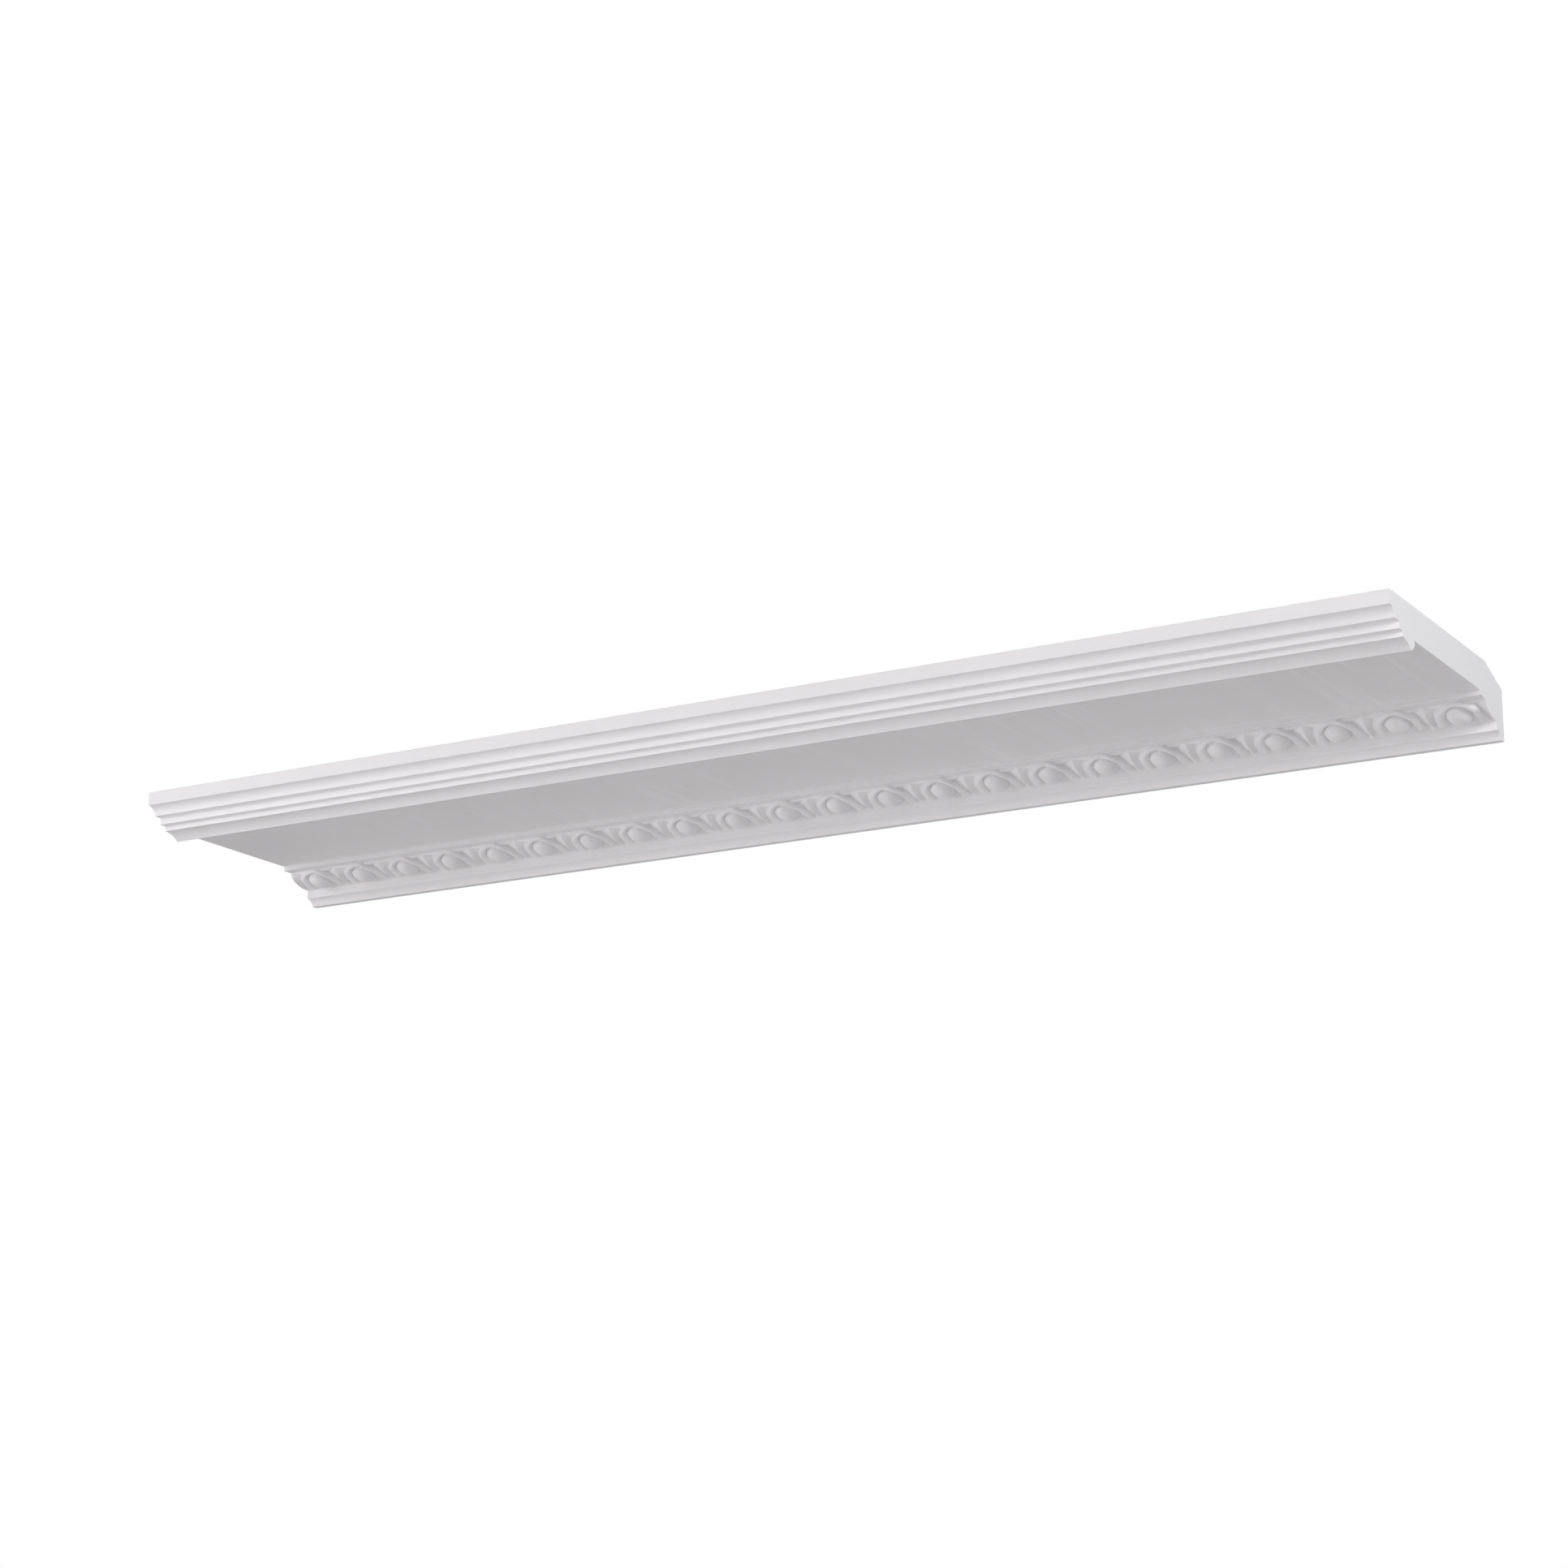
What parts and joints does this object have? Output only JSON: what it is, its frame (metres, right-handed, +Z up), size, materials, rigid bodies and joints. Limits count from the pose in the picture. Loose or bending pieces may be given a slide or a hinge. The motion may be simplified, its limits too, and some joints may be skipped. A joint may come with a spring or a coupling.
{
  "type": "cornice",
  "caption": "Straight length of ceiling cornice with a stepped front edge, a wide sunk soffit and an egg-and-dart band, cut square at both ends.",
  "frame": {"origin": "middle of the flat face that is bonded to the ceiling, halfway along the length", "axes": "+X along the length, +Y into the wall, so the room side faces -Y, and +Z up into the ceiling"},
  "size_m": [2, 0.4254, 0.0975],
  "materials": {
    "cornice": "smooth white factory primer, satin to matt, on a rigid foam moulding"
  },
  "bodies": {
    "root": {"cornice": "cornice"}
  },
  "joints": []
}
